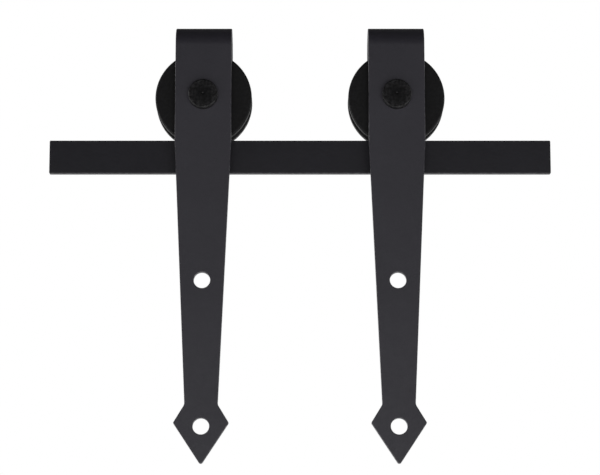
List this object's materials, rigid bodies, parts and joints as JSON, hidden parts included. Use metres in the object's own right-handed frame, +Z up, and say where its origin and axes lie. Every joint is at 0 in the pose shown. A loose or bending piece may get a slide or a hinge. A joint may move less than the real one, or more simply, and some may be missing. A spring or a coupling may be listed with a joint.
{
  "type": "sliding barn door hardware",
  "caption": "Flat wall-mounted rail with arrow-tipped strap hangers that roll along it on grooved wheels and bolt to the face of a sliding door.",
  "frame": {"origin": "on the wall's face, midway between the two wall screws", "axes": "+X to the right along the rail, +Y into the wall along the screws, +Z up"},
  "size_m": [0.447, 0.1081, 0.3949],
  "materials": {
    "powder_coat": "matte black powder coat with a fine grain",
    "wheel_coat": "smooth satin black coating",
    "black_steel": "smooth satin black coating",
    "plated_steel": "satin zinc plating",
    "bearing_steel": "ground",
    "ball_steel": "polished",
    "spring_steel": "dark phosphate"
  },
  "bodies": {
    "rail": {"rail_bar": "powder_coat", "wall_spacer_left": "powder_coat", "wall_spacer_right": "powder_coat", "lag_screw_left": "black_steel", "lag_screw_right": "black_steel", "lag_washer_left": "black_steel", "lag_washer_right": "black_steel"},
    "axle_left": {"axle_bolt_left": "black_steel", "axle_nut_left": "black_steel", "axle_washer_left": "black_steel", "front_bush_left": "plated_steel", "rear_bush_left": "plated_steel", "bearing_inner_ring_left": "bearing_steel"},
    "strap_left": {"strap_left": "powder_coat"},
    "wheel_left": {"wheel_left": "wheel_coat", "bearing_outer_ring_left": "bearing_steel", "front_shield_left": "plated_steel", "rear_shield_left": "plated_steel", "retaining_ring_left": "spring_steel"},
    "cage_left": {"bearing_cage_left": "plated_steel", "bearing_balls_left": "ball_steel"},
    "axle_right": {"axle_bolt_right": "black_steel", "axle_nut_right": "black_steel", "axle_washer_right": "black_steel", "front_bush_right": "plated_steel", "rear_bush_right": "plated_steel", "bearing_inner_ring_right": "bearing_steel"},
    "strap_right": {"strap_right": "powder_coat"},
    "wheel_right": {"wheel_right": "wheel_coat", "bearing_outer_ring_right": "bearing_steel", "front_shield_right": "plated_steel", "rear_shield_right": "plated_steel", "retaining_ring_right": "spring_steel"},
    "cage_right": {"bearing_cage_right": "plated_steel", "bearing_balls_right": "ball_steel"}
  },
  "joints": [
    {"name": "roll_along_rail_left", "type": "slide", "parent": "rail", "child": "axle_left", "axis": [1, 0, 0], "range_m": [-0.125, 0.02]},
    {"name": "strap_swing_left", "type": "hinge", "parent": "axle_left", "child": "strap_left", "pos_m": [-0.086, -0.036, 0.0536], "axis": [0, 1, 0], "range_deg": [-7, 40]},
    {"name": "wheel_spin_left", "type": "hinge", "parent": "axle_left", "child": "wheel_left", "pos_m": [-0.086, -0.036, 0.0536], "axis": [0, 1, 0], "continuous": true},
    {"name": "cage_spin_left", "type": "hinge", "parent": "axle_left", "child": "cage_left", "pos_m": [-0.086, -0.036, 0.0536], "axis": [0, 1, 0], "continuous": true},
    {"name": "roll_along_rail_right", "type": "slide", "parent": "rail", "child": "axle_right", "axis": [1, 0, 0], "range_m": [-0.02, 0.125]},
    {"name": "strap_swing_right", "type": "hinge", "parent": "axle_right", "child": "strap_right", "pos_m": [0.086, -0.036, 0.0536], "axis": [0, 1, 0], "range_deg": [-40, 7]},
    {"name": "wheel_spin_right", "type": "hinge", "parent": "axle_right", "child": "wheel_right", "pos_m": [0.086, -0.036, 0.0536], "axis": [0, 1, 0], "continuous": true},
    {"name": "cage_spin_right", "type": "hinge", "parent": "axle_right", "child": "cage_right", "pos_m": [0.086, -0.036, 0.0536], "axis": [0, 1, 0], "continuous": true}
  ],
  "couplings": [
    {"joint": "wheel_spin_left", "follows": "roll_along_rail_left", "rad_per_m": 27.027},
    {"joint": "cage_spin_left", "follows": "roll_along_rail_left", "rad_per_m": 17.199},
    {"joint": "wheel_spin_right", "follows": "roll_along_rail_right", "rad_per_m": 27.027},
    {"joint": "cage_spin_right", "follows": "roll_along_rail_right", "rad_per_m": 17.199}
  ]
}
